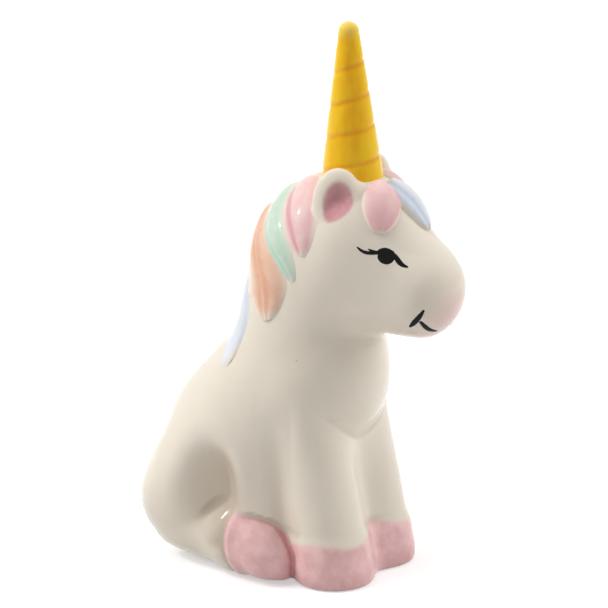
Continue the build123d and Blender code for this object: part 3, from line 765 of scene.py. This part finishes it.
def skin_marks(points):
    """Paint on the skin, one number per point: pooled glaze and painted shade where the skin bends inwards,
    painted shade in the hollows ahead of the haunches, the blush of the muzzle, the ear bowls, the hooves
    with their brushed edge and painted shade in their creases and towards the ground, and the bare foot."""
    around = sum(figure(points + BEND_STEP * way) + figure(points - BEND_STEP * way) for way in (X, Y, Z))
    bend = (around - 6 * figure(points)) / BEND_STEP ** 2
    right = folded(points)
    muzzle = np.linalg.norm((points - MUZZLE_CENTRE) / MUZZLE_RADII, axis=1)
    lips = np.linalg.norm((points - LIP_CENTRE) / LIP_RADII, axis=1)
    rest = np.minimum(bare_form(points), np.minimum(haunch(right), hind_foot(right)))
    leg, hind = leg_form(points), hind_hoof(right)
    # Painted shade in the hollow ahead of each haunch, fading out towards the back
    hollow_shade = smooth_step(*HOLLOW_SHADE, hollow(right)) * smooth_step(*HOLLOW_SHADE_BACK, points[:, 1])
    turn = np.arctan2(right[:, 0] - FORE_LEG_X, right[:, 1] - FORE_HOOF_CENTRE_Y)
    wave = FORE_HOOF_WAVE * np.sin(FORE_HOOF_WAVES * turn + FORE_HOOF_WAVE_PHASE)
    between = FORE_HOOF_JOIN * np.exp(-(points[:, 0] / FORE_HOOF_JOIN_WIDTH) ** 2)
    below = FORE_HOOF_TOP + wave + between - points[:, 2]
    fore_paint = smooth_step(*FORE_PAINT_EDGE, below) * smooth_step(*FORE_PAINT_SIDE, rest - leg)
    hind_paint = smooth_step(*HIND_PAINT_EDGE, rest - hind) * smooth_step(*HIND_PAINT_REACH, hind)
    blush = np.maximum(smooth_step(*MUZZLE_FADE, muzzle), smooth_step(*LIP_FADE, lips))
    # Painted shade: the hooves darker in their creases and towards the ground
    crease_shade = HOOF_BEND_SHADE * smooth_step(*HOOF_BEND, -bend)
    return {
        "pool_and_shade": np.maximum(smooth_step(*POOL_SHADE_BEND, -bend), hollow_shade),
        "blush": BLUSH_MOST * blush,
        "inner_ear": smooth_step(*EAR_PAINT_EDGE, ear_bowl(right)) * (points[:, 2] > EAR_FOOT[2]),
        "hoof": np.maximum(fore_paint, hind_paint),
        "hoof_deep": crease_shade + HOOF_FOOT_SHADE * smooth_step(*HOOF_FOOT, points[:, 2]),
        "bare": smooth_step(*BARE_EDGE, points[:, 2]),
    }


def skin_parts(points):
    """The piece that each point belongs to, as a place in SKIN_PARTS: the form that holds it deepest."""
    right = folded(points)
    trunk_and_head = np.minimum(bare_form(points), chest(points))
    depth = np.stack((trunk_and_head, ear(right), leg_form(points), haunch(right), hind_foot(right),
                      hind_hoof(right)))
    place = {part: index for index, part in enumerate(SKIN_PARTS)}
    upper = np.where(points[:, 2] > NECK_SEAM_HEIGHT, place["head"], place["body"])
    leg = np.where(points[:, 2] > FORE_HOOF_TOP, place["foreleg"], place["fore_hoof"])
    return np.choose(depth.argmin(0), (upper, place["ear"], leg, place["haunch"], place["hind_foot"],
                                       place["hind_hoof"]))


def shell(quads):
    """A closed shell over some of the skin's quads: the face, the same face turned over for the back, and a
    strip of quads along the rim. Gives the points used and the faces, back points counted after front."""
    used, quads = np.unique(quads, return_inverse=True)
    quads = quads.reshape(-1, 4)
    count = len(used)
    edges = np.stack((quads, np.roll(quads, -1, 1)), -1).reshape(-1, 2)
    key = edges.min(1).astype(np.int64) * count + edges.max(1)
    _, first, uses = np.unique(key, return_index=True, return_counts=True)
    rim = edges[first[uses == 1]]
    strip = np.column_stack((rim[:, 1], rim[:, 0], rim[:, 0] + count, rim[:, 1] + count))
    return used, [np.concatenate((quads, quads[:, ::-1] + count, strip))]


def make_skin():
    """The glazed skin, parted into one closed shell for each solid that it stands for."""
    points, quads = skin_mesh()
    normals = unit(slopes(figure, points))
    marks = skin_marks(points)
    middles = points[quads].mean(1)
    parts = skin_parts(middles)
    white, pink = skin_glaze("white_glaze"), skin_glaze("hoof_pink")
    for place, part in enumerate(SKIN_PARTS):
        sides = {"_right": middles[:, 0] < 0, "_left": middles[:, 0] >= 0}
        if part in SINGLE_PARTS:
            sides = {"": np.full(len(quads), True)}
        for side, there in sides.items():
            used, faces = shell(quads[(parts == place) & there])
            shape = np.concatenate((points[used], points[used] - SHELL_WALL * normals[used]))
            ways = np.concatenate((normals[used], -normals[used]))
            paint_marks = {mark: np.tile(numbers[used], 2) for mark, numbers in marks.items()}
            material, slot = (pink, "hoof_pink") if "hoof" in part else (white, "white_glaze")
            put_piece(part + "_glaze" + side, shape, faces, material, slot, [part + side], ways,
                      **paint_marks)


make_skin()

# Locks of hair. Rows: turn, tilt, half width. Creases: place across at the root, middle and tip, depth.
# Then the rise, the paint's depth with what it gains towards the right edge and the tip, and the edge's
# softness: 1 swells low and fades out, 0 is a round puff.
MANE = {
    "mane_pink": ("lock_pink", ((10, 80, 0), (62, 72, 4.2), (83, 56, 5.0), (95, 35, 4.4), (103, 11, 0)),
                  ((-0.5, -0.45, -0.2, 0.9), (0.7, 0.65, 0.55, 0.3)), 1.1, (0.0, 0.1, 0.2), 1.0),
    "mane_mint": ("lock_mint", ((4, 66, 0), (27, 57, 3.0), (47, 41, 3.7), (67, 22, 3.8), (82, 6, 3.1),
                                (94, -11, 0)),
                  ((-0.45, -0.4, -0.1, 0.5), (0.3, 0.4, 0.4, 0.2)), 0.9, (0.1, -0.15, 0.25), 1.0),
    "mane_peach": ("lock_peach", ((4, 38, 0), (23, 18, 5.4), (48, -3, 7.0), (63, -19, 6.7), (69, -39, 0)),
                   ((0.55, 0.05, -0.4, 0.7), (0.75, 0.2, 0.0, 0.6)), 1.2, (0.05, 0.45, 0.25), 1.0),
    "mane_lilac": ("lock_lilac", ((4, 2, 0), (12, -16, 3.5), (24, -28, 4.3), (36, -37, 3.5), (47, -47, 0)),
                   ((0.6, 0.6, 0.5, 0.3),), 0.7, (0.05, 0.1, 0.0), 1.0),
}
FORELOCK = {
    "forelock_right": ("lock_pink", ((172, 52, 0), (167, 44, 3.6), (160, 35, 3.7), (154, 23, 0)),
                       ((0.7, 0.7, 0.5, 0.2),), 1.8, (0.1, 0.0, 0.45), 0.1),
    "forelock_middle": ("lock_lilac", ((184, 50, 0), (187, 42, 3.8), (188, 32, 4.2), (184, 18, 0)),
                        ((-0.6, -0.5, -0.3, 0.5),), 1.9, (0.0, -0.4, -0.1), 0.1),
    "forelock_left": ("lock_pink", ((194, 66, 0), (212, 52, 2.95), (220, 38, 3.1), (214, 22, 0)),
                      ((0.5, 0.5, 0.4, 0.3),), 1.7, (0.2, 0.0, 0.2), 0.1),
}
TAIL = {
    "tail_upper": ("lock_lilac", ((2, 36, 0), (-5, 18, 3.5), (-22, 4, 3.8), (-44, -4, 3.2), (-66, -2, 0)),
                   ((0.0, 0.1, 0.2, 0.6),), 2.1, (0.2, 0.0, 0.2), 0.2),
    "tail_lower": ("lock_pink", ((8, 22, 0), (0, 0, 3.5), (-16, -17, 3.8), (-38, -24, 3.0), (-60, -16, 0)),
                   ((0.1, 0.0, -0.1, 0.6),), 2.1, (0.2, 0.0, 0.2), 0.2),
}
SINK = 0.1
LOCK_BACK = 0.6
LOCK_ALONG = np.linspace(0.004, 0.996, 90)
LOCK_ACROSS = np.linspace(-1, 1, 49)
CREASE_WIDTH = 0.18
CREASE_BITE = 0.4
# Where a lock's paint starts to fade and where it is gone, as shares. The second number of each pair is how
# much earlier that is at a softness of 1.
FADE_ACROSS = ((0.8, 0.25), (0.97, 0.05))
FADE_ALONG = ((0.90, 0.05), (0.99, 0.0))
FADE_MOST = 0.95
paint = {slot: painted_glaze(slot) for slot in PAINTS if slot != "hoof_pink"}


def lock_surface(form, centre, rows, creases, rise, depth, softness):
    """A lock of hair laid on the skin: across it the face swells as a power of 1 - a^2, from a low mound to
    a round puff, and dips along each crease as a bell curve; along it the rise follows the root of the
    width. Its rim is sunk, and the paint fades towards it."""
    turn, tilt, half_widths = np.asarray(rows, float).T
    along, across = LOCK_ALONG, LOCK_ACROSS
    spots, normals, width = laid_strip(form, centre, ways_from(turn, tilt), half_widths, along, across)
    dip = np.zeros((len(along), len(across)))
    # Each crease sinks the face and darkens the paint along it as painted shade
    for root, middle, tip, crease in creases:
        line = natural_spline((0.0, 0.5, 1.0), (root, middle, tip), along)[:, None]
        dip = np.maximum(dip, crease * np.exp(-((across[None, :] - line) / CREASE_WIDTH) ** 2))
    swell = np.power(np.maximum(1 - across ** 2, 0), 0.5 + softness)[None, :]
    taper = np.sqrt(width / width.max())[:, None]
    face = (rise + SINK) * swell * taper * (1 - CREASE_BITE * dip) - SINK
    points, polygons, back = raised_tube(spots, normals, face, np.full(face.shape, SINK + LOCK_BACK))
    edge = smooth_step(*(share - less * softness for share, less in FADE_ACROSS), np.abs(across))[None, :]
    from_middle = np.abs(2 * along - 1)
    ends = smooth_step(*(share - less * softness for share, less in FADE_ALONG), from_middle)[:, None]
    # Painted shade along the creases, plus the paint's depth and what it gains across and along
    deep = dip + depth[0] + depth[1] * across[None, :] + depth[2] * along[:, None]
    marks = {"deep": tube_marks(np.clip(deep, 0, 1), back),
             "fade": tube_marks(FADE_MOST * np.maximum(edge, ends), back)}
    return points, polygons, marks


for name, (slot, *shape) in MANE.items():
    points, polygons, marks = lock_surface(bare_form, HAIR_CENTRE, *shape)
    points[:, 0] = np.minimum(points[:, 0], 0)
    put_piece(name + "_lock_right", points, polygons, paint[slot], slot, [name + "_right"], **marks)
    points, polygons = mirrored(points, polygons)
    put_piece(name + "_lock_left", points, polygons, paint[slot], slot, [name + "_left"], **marks)
for name, (slot, *shape) in FORELOCK.items():
    points, polygons, marks = lock_surface(bare_form, HAIR_CENTRE, *shape)
    put_piece(name + "_lock", points, polygons, paint[slot], slot, [name], **marks)
for name, (slot, *shape) in TAIL.items():
    points, polygons, marks = lock_surface(rump_form, TAIL_CENTRE, *shape)
    put_piece(name + "_lock", points, polygons, paint[slot], slot, [name], **marks)


def make_horn():
    """Horn: a taper with a domed tip, r = taper - depth * dip, where dip is a narrow bell on each turn of a
    spiral that rises to the right, height / pitch - angle / turn."""
    slope = (HORN_BASE_RADIUS - HORN_TIP_RADIUS) / (HORN_LENGTH - HORN_TIP_RADIUS)
    straight = np.linspace(0, HORN_LENGTH - HORN_TIP_RADIUS, HORN_RINGS)
    dome = np.linspace(*HORN_DOME_ENDS, HORN_TIP_RINGS)
    height = np.concatenate((straight, HORN_LENGTH - HORN_TIP_RADIUS + HORN_TIP_RADIUS * np.sin(dome)))
    radius = np.concatenate((HORN_BASE_RADIUS - slope * straight, HORN_TIP_RADIUS * np.cos(dome)))
    angle = np.linspace(0, math.tau, HORN_AROUND, endpoint=False)
    phase = height[:, None] / HORN_PITCH - angle[None, :] / math.tau + HORN_PHASE
    turn = phase - np.round(phase)
    dip = np.exp(-(turn / HORN_GROOVE_WIDTH) ** 2)
    run_out = smooth_step(*(HORN_LENGTH - below for below in HORN_GROOVE_TOP), height)
    dip = dip * (run_out * smooth_step(*HORN_GROOVE_FOOT, height))[:, None]
    r = radius[:, None] - HORN_GROOVE_DEPTH * dip * (0.5 + 0.5 * radius[:, None] / HORN_BASE_RADIUS)
    local = np.stack((r * np.cos(angle), r * np.sin(angle), np.broadcast_to(height[:, None], r.shape)), -1)
    ends = np.array(((0, 0, 0), (0, 0, HORN_LENGTH)))
    local = np.concatenate((local.reshape(-1, 3), ends))
    lean = np.array(Matrix.Rotation(math.radians(-HORN_LEAN), 3, "X"))
    # Orange painted shade in the groove, as deep as the groove's dip
    deep = np.concatenate((dip.ravel(), (0, 0)))
    pale = smooth_step(HORN_LENGTH - HORN_PALE_TIP, HORN_LENGTH, local[:, 2])
    # Painted shade: amber deepest on the sides towards and away from the camera, paler towards the rims as
    # seen from it
    facing_shade = 0.5 + 0.5 * np.cos(2 * (angle - math.radians(HORN_SHADE_TURN)))
    amber = np.concatenate((np.tile(facing_shade, len(height)), (0.5, 0.5)))
    put_piece("horn_spiral", local @ lean.T + HORN_FOOT, tube_faces(*r.shape), horn_glaze(), "horn_yellow",
              ["horn"], deep=HORN_GROOVE_SHADE * deep, pale=HORN_PALE_MOST * pale, amber=amber)


make_horn()

# Eyes and smile, each a brushed stroke through pixels of the photograph with half widths in millimetres
STROKE_RISE = 0.07
STROKE_BACK = 0.15
STROKE_ALONG = np.linspace(0, 1, 48)
STROKE_ACROSS = np.linspace(-1, 1, 9)
STROKES = {
    "lash_back": (((357, 247), (362, 251), (369, 253), (378, 252.5), (386, 251)),
                  (0.1, 0.28, 0.36, 0.36, 0.32)),
    "lash_flick": (((368, 249), (372, 250.8), (378, 252.5)), (0.08, 0.22, 0.26)),
    "lid": (((377, 253.5), (381, 250.5), (387, 250), (393, 253.5)), (0.28, 0.38, 0.4, 0.42)),
    "lash_front": (((391, 252.5), (396, 257.5), (401, 264), (408, 267)), (0.36, 0.48, 0.46, 0.14)),
    "cheek_line": (((424, 310), (420, 316), (415, 322), (410, 327)), (0.14, 0.42, 0.46, 0.16)),
    "smile": (((420, 321.5), (425, 326.5), (430, 330), (437, 331)), (0.24, 0.42, 0.42, 0.14)),
}
PUPIL_PIXEL = (385.7, 256.8)
PUPIL_RADIUS = 1.42
PUPIL_KNOTS = 9
black = line_paint()


def stroke_surface(spots, widths):
    """A brushed stroke: a thin lens raised over the skin along a route, its rim sunk into it. Across it the
    height is the rise times 1.4 sqrt(1 - a^2) - 0.2."""
    ways = unit(spots - HAIR_CENTRE)
    grid, normals, _ = laid_strip(bare_form, HAIR_CENTRE, ways, widths, STROKE_ALONG, STROKE_ACROSS)
    lens = STROKE_RISE * (1.4 * np.sqrt(np.maximum(1 - STROKE_ACROSS ** 2, 0)) - 0.2)
    face = np.broadcast_to(lens, grid.shape[:2])
    points, polygons, _ = raised_tube(grid, normals, face, np.full(face.shape, STROKE_BACK))
    return points, polygons


def put_stroke(name, points, polygons):
    """A stroke on the right side of the face and its mirror image on the left."""
    put_piece(name + "_right", points, polygons, black, "white_glaze", [])
    put_piece(name + "_left", *mirrored(points, polygons), black, "white_glaze", [])


for name, (pixels, widths) in STROKES.items():
    put_stroke(name, *stroke_surface(seen_at(bare_form, pixels), widths))
pupil = seen_at(bare_form, [PUPIL_PIXEL])[0]
lift = np.linspace(-1, 1, PUPIL_KNOTS)
pupil_line = pupil + PUPIL_RADIUS * lift[:, None] * view_up
put_stroke("pupil", *stroke_surface(pupil_line, PUPIL_RADIUS * np.sqrt(1 - lift ** 2)))

# Floor, lights and camera
FLOOR_HALF = 4.0
FLOOR_DROP = 0.00005
FLOOR_ROUGHNESS = 0.9
LIGHT_TARGET = (0.0, 5.0, 45.0)
# Lamps smaller than this sparkle in the glaze, and larger ones only light it
SPARKLE_SIZE = 0.1
LIGHTS = (
    # name, place about the figure in view axes (right, up, back) in m, size in m, power in W
    ("left_softbox", (-0.60, 0.60, 0.30), 0.80, 4.1),
    ("right_softbox", (0.72, 0.38, 0.02), 0.80, 4.3),
    ("top_softbox", (-0.1, 0.82, 0.15), 0.60, 2.2),
    ("left_lamp", (-0.60, 0.50, 0.10), 0.05, 1.3),
)
WORLD_LEVEL = 0.20
# The floor's glow to the eye near the figure and far from it, and the distances in m between which it grows
FLOOR_GLOW = (0.5, 0.88)
FLOOR_GLOW_REACH = (0.1, 0.9)


def in_sight(tree):
    """1 for rays that the eye follows, straight, mirrored or through glass, and 0 for the rest."""
    path = tree.nodes.new("ShaderNodeLightPath")
    share = path.outputs["Is Camera Ray"]
    for kind in ("Is Glossy Ray", "Is Transmission Ray"):
        node = tree.nodes.new("ShaderNodeMath")
        node.operation = "MAXIMUM"
        tree.links.new(share, node.inputs[0])
        tree.links.new(path.outputs[kind], node.inputs[1])
        share = node.outputs["Value"]
    return share


def make_stage():
    """A pale floor, whiter to the eye than to the light, soft boxes to both sides and above, and a white
    surround."""
    mesh = bpy.data.meshes.new("floor")
    half = FLOOR_HALF
    corners = [(-half, -half, 0), (half, -half, 0), (half, half, 0), (-half, half, 0)]
    mesh.from_pydata(corners, [], [(0, 1, 2, 3)])
    floor = bpy.data.objects.new("floor", mesh)
    floor.location.z = -FLOOR_DROP
    bpy.context.scene.collection.objects.link(floor)
    nodes = Nodes("pale_floor")
    nodes.feed(nodes.shader.inputs["Base Color"], FLOOR_GREY)
    nodes.feed(nodes.shader.inputs["Roughness"], FLOOR_ROUGHNESS)
    nodes.feed(nodes.shader.inputs["Specular IOR Level"], 0.0)
    nodes.feed(nodes.shader.inputs["Emission Color"], (1.0, 1.0, 1.0))
    reach = nodes.add("ShaderNodeVectorMath", operation="LENGTH")
    nodes.feed(reach.inputs["Vector"], nodes.coordinates)
    glow = nodes.ramp(reach.outputs["Value"], *FLOOR_GLOW_REACH, *FLOOR_GLOW)
    nodes.feed(nodes.shader.inputs["Emission Strength"], nodes.combine(in_sight(nodes.tree), glow))
    floor.data.materials.append(nodes.material)
    target = np.array(LIGHT_TARGET) * MM + ORIGIN
    for name, place, size, power in LIGHTS:
        lamp = bpy.data.lights.new(name, "AREA")
        lamp.shape, lamp.size, lamp.energy = "DISK", size, power
        light = bpy.data.objects.new(name, lamp)
        light.visible_glossy = size < SPARKLE_SIZE
        light.location = target + place[0] * view_right + place[1] * view_up + place[2] * view_back
        light.rotation_euler = (Vector(target) - light.location).to_track_quat("-Z", "Y").to_euler()
        bpy.context.scene.collection.objects.link(light)
    world = bpy.data.worlds.new("white_surround")
    world.use_nodes = True
    tree = world.node_tree
    background = tree.nodes["Background"]
    background.inputs["Color"].default_value = (1, 1, 1, 1)
    level = tree.nodes.new("ShaderNodeMapRange")
    level.inputs["To Min"].default_value = WORLD_LEVEL
    level.inputs["To Max"].default_value = 1.0
    tree.links.new(in_sight(tree), level.inputs["Value"])
    tree.links.new(level.outputs["Result"], background.inputs["Strength"])
    bpy.context.scene.world = world


def make_camera():
    """A camera at the photograph's view."""
    lens = bpy.data.cameras.new("photo_view")
    lens.sensor_width = SENSOR
    lens.lens = PIXELS_PER_MM * CAMERA_DISTANCE * SENSOR / IMAGE_SIZE
    lens.clip_end = CLIP_END
    camera = bpy.data.objects.new("photo_view", lens)
    camera.location = camera_spot * MM + ORIGIN
    camera.rotation_euler = Matrix(np.column_stack((view_right, view_up, view_back)).tolist()).to_euler()
    bpy.context.scene.collection.objects.link(camera)
    bpy.context.scene.camera = camera


make_stage()
make_camera()
bpy.context.scene.view_settings.view_transform = "Standard"
